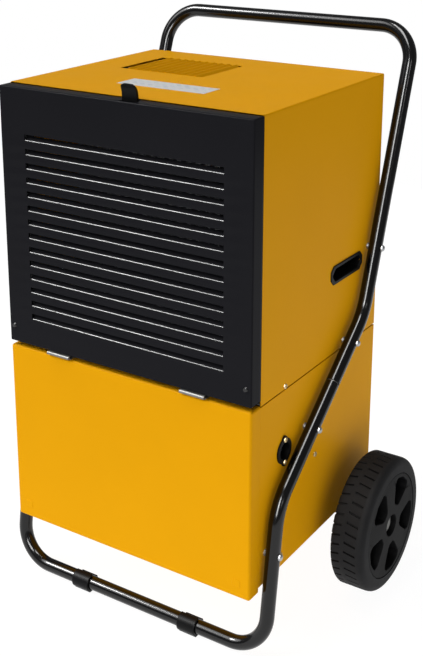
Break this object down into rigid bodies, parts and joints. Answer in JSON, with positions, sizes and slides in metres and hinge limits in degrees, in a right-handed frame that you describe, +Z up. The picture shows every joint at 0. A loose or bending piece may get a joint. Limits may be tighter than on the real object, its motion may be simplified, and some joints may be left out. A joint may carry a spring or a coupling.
{
  "type": "portable commercial dehumidifier",
  "caption": "Upright sheet-metal dehumidifier on a bent-tube trolley frame with two wheels, a louvred hinged front door, a rear fan outlet and an inner water tank.",
  "frame": {"origin": "on the floor, under the centre of the whole object's bounding box", "axes": "+X to the side that carries the mains inlet, +Y from the front door to the back, +Z up"},
  "size_m": [0.587, 0.4646, 0.855],
  "materials": {
    "yellow_paint": "semi-gloss",
    "pan_paint": "semi-gloss",
    "black_satin_paint": "satin",
    "black_gloss_tube": "gloss",
    "galvanised_sheet": "satin",
    "aluminium_fins": "satin",
    "black_can_paint": "satin",
    "copper": "satin",
    "foam_rubber": "matte",
    "black_rubber": "matte",
    "tyre_rubber": "matte",
    "black_plastic": "satin",
    "wheel_plastic": "matte",
    "filter_plastic": "matte",
    "tray_plastic": "satin",
    "tank_plastic": "satin",
    "float_plastic": "satin",
    "clear_hose": "satin",
    "motor_paint": "satin",
    "guard_wire": "satin",
    "capacitor_can": "satin",
    "red_rocker": "gloss",
    "meter_face": "gloss",
    "lamp_lens": "gloss",
    "label_film": "satin",
    "steel": "satin",
    "zinc": "satin",
    "yellow_zinc": "satin",
    "black_steel": "satin"
  },
  "bodies": {
    "cabinet": {"upper_hood": "yellow_paint", "lower_side_left": "yellow_paint", "lower_side_right": "yellow_paint", "base_pan": "pan_paint", "lower_front_panel": "yellow_paint", "rear_upper_panel": "yellow_paint", "rear_lower_panel": "yellow_paint", "front_frame": "black_satin_paint", "equipment_shelf": "galvanised_sheet", "fan_baffle": "galvanised_sheet", "door_gasket": "foam_rubber", "evaporator": "aluminium_fins", "condenser": "aluminium_fins", "compressor": "black_can_paint", "compressor_feet": "black_rubber", "suction_pipe": "copper", "discharge_pipe": "copper", "filter_drier": "copper", "drip_tray": "tray_plastic", "drain_hose": "clear_hose", "water_tank": "tank_plastic", "float_bracket": "galvanised_sheet", "float_switch": "black_plastic", "fan_motor": "motor_paint", "motor_bracket": "galvanised_sheet", "outlet_guard": "guard_wire", "electrical_box": "tray_plastic", "run_capacitor": "capacitor_can", "control_plate": "black_plastic", "humidistat": "tray_plastic", "switch_housing": "black_plastic", "hour_meter": "meter_face", "indicator_lamps": "lamp_lens", "mains_inlet": "black_plastic", "top_label": "label_film", "side_grips": "black_plastic", "hinge_body_leaves": "steel", "handle_tube": "black_gloss_tube", "foot_tube": "black_gloss_tube", "tube_joiners": "steel", "frame_bolts": "zinc", "panel_screws": "yellow_zinc", "foot_pads": "black_plastic", "axle": "steel", "axle_brackets": "black_satin_paint"},
    "door": {"front_door": "black_satin_paint", "filter_channels": "galvanised_sheet", "filter_frame": "filter_plastic", "filter_mesh": "filter_plastic", "door_fasteners": "black_steel", "hinge_door_leaves": "steel"},
    "latch": {"latch_lever": "black_plastic"},
    "float": {"float_lever": "float_plastic"},
    "fan": {"fan_rotor": "black_plastic"},
    "knob": {"humidistat_knob": "black_plastic"},
    "rocker": {"switch_rocker": "red_rocker"},
    "right_wheel": {"wheel_right": "wheel_plastic", "tyre_right": "tyre_rubber"},
    "left_wheel": {"wheel_left": "wheel_plastic", "tyre_left": "tyre_rubber"}
  },
  "joints": [
    {"name": "door_hinge", "type": "hinge", "parent": "cabinet", "child": "door", "pos_m": [0, -0.2297, 0.3934], "axis": [1, 0, 0], "range_deg": [0, 155]},
    {"name": "latch_tilt", "type": "hinge", "parent": "door", "child": "latch", "pos_m": [0.012, -0.2162, 0.768], "axis": [1, 0, 0], "range_deg": [0, 18], "stiffness_Nm_per_rad": 0.2, "springref_deg": -11.46},
    {"name": "float_swing", "type": "hinge", "parent": "cabinet", "child": "float", "pos_m": [-0.06, -0.1582, 0.516], "axis": [1, 0, 0], "range_deg": [0, 12]},
    {"name": "fan_spin", "type": "hinge", "parent": "cabinet", "child": "fan", "pos_m": [0, 0.0178, 0.66], "axis": [0, 1, 0], "continuous": true},
    {"name": "knob_turn", "type": "hinge", "parent": "cabinet", "child": "knob", "pos_m": [-0.088, 0.1473, 0.455], "axis": [0, 1, 0], "range_deg": [0, 270]},
    {"name": "rocker_tilt", "type": "hinge", "parent": "cabinet", "child": "rocker", "pos_m": [-0.028, 0.1418, 0.455], "axis": [1, 0, 0], "range_deg": [0, 16]},
    {"name": "right_wheel_spin", "type": "hinge", "parent": "cabinet", "child": "right_wheel", "pos_m": [0.2385, 0.0568, 0.104], "axis": [1, 0, 0], "continuous": true},
    {"name": "left_wheel_spin", "type": "hinge", "parent": "cabinet", "child": "left_wheel", "pos_m": [-0.2385, 0.0568, 0.104], "axis": [1, 0, 0], "continuous": true}
  ]
}
